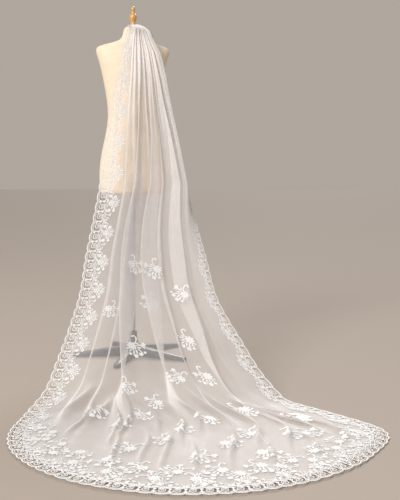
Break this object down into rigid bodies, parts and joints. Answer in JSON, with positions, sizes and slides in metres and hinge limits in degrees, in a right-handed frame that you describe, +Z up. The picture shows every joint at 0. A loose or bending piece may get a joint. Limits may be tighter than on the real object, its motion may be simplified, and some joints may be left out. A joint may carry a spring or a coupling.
{
  "type": "bridal veil on a dress form",
  "caption": "Long tulle bridal veil with a scalloped lace border and floral sprays, gathered at the neck of a limbless dress form on a pole, its rounded train spread on the floor.",
  "frame": {"origin": "on the floor, under the stand's pole and on the flat underside of its base", "axes": "+Z up; -Y from the form's back along the train; +X to the right as seen from the train's end"},
  "size_m": [1.2681, 2.1593, 1.743],
  "materials": {
    "tulle": "sheer soft tulle",
    "lace": "corded lace",
    "form_cloth": "cream jersey cover",
    "finial_wood": "varnished",
    "pole_metal": "satin",
    "base_metal": "black enamel"
  },
  "bodies": {
    "root": {"base_hub": "base_metal", "dress_form": "form_cloth", "finial": "finial_wood", "lace_hem": "lace", "lace_left": "lace", "lace_right": "lace", "pole": "pole_metal", "spray_01": "lace", "spray_02": "lace", "spray_03": "lace", "spray_04": "lace", "spray_05": "lace", "spray_06": "lace", "spray_07": "lace", "spray_08": "lace", "spray_09": "lace", "spray_10": "lace", "spray_11": "lace", "spray_12": "lace", "spray_13": "lace", "spray_14": "lace", "spray_15": "lace", "spray_16": "lace", "spray_17": "lace", "spray_18": "lace", "spray_19": "lace", "spray_20": "lace", "spray_21": "lace", "spray_22": "lace", "spray_23": "lace", "spray_24": "lace", "spray_25": "lace", "spray_26": "lace", "stand_base": "base_metal", "tulle_panel": "tulle"}
  },
  "joints": []
}
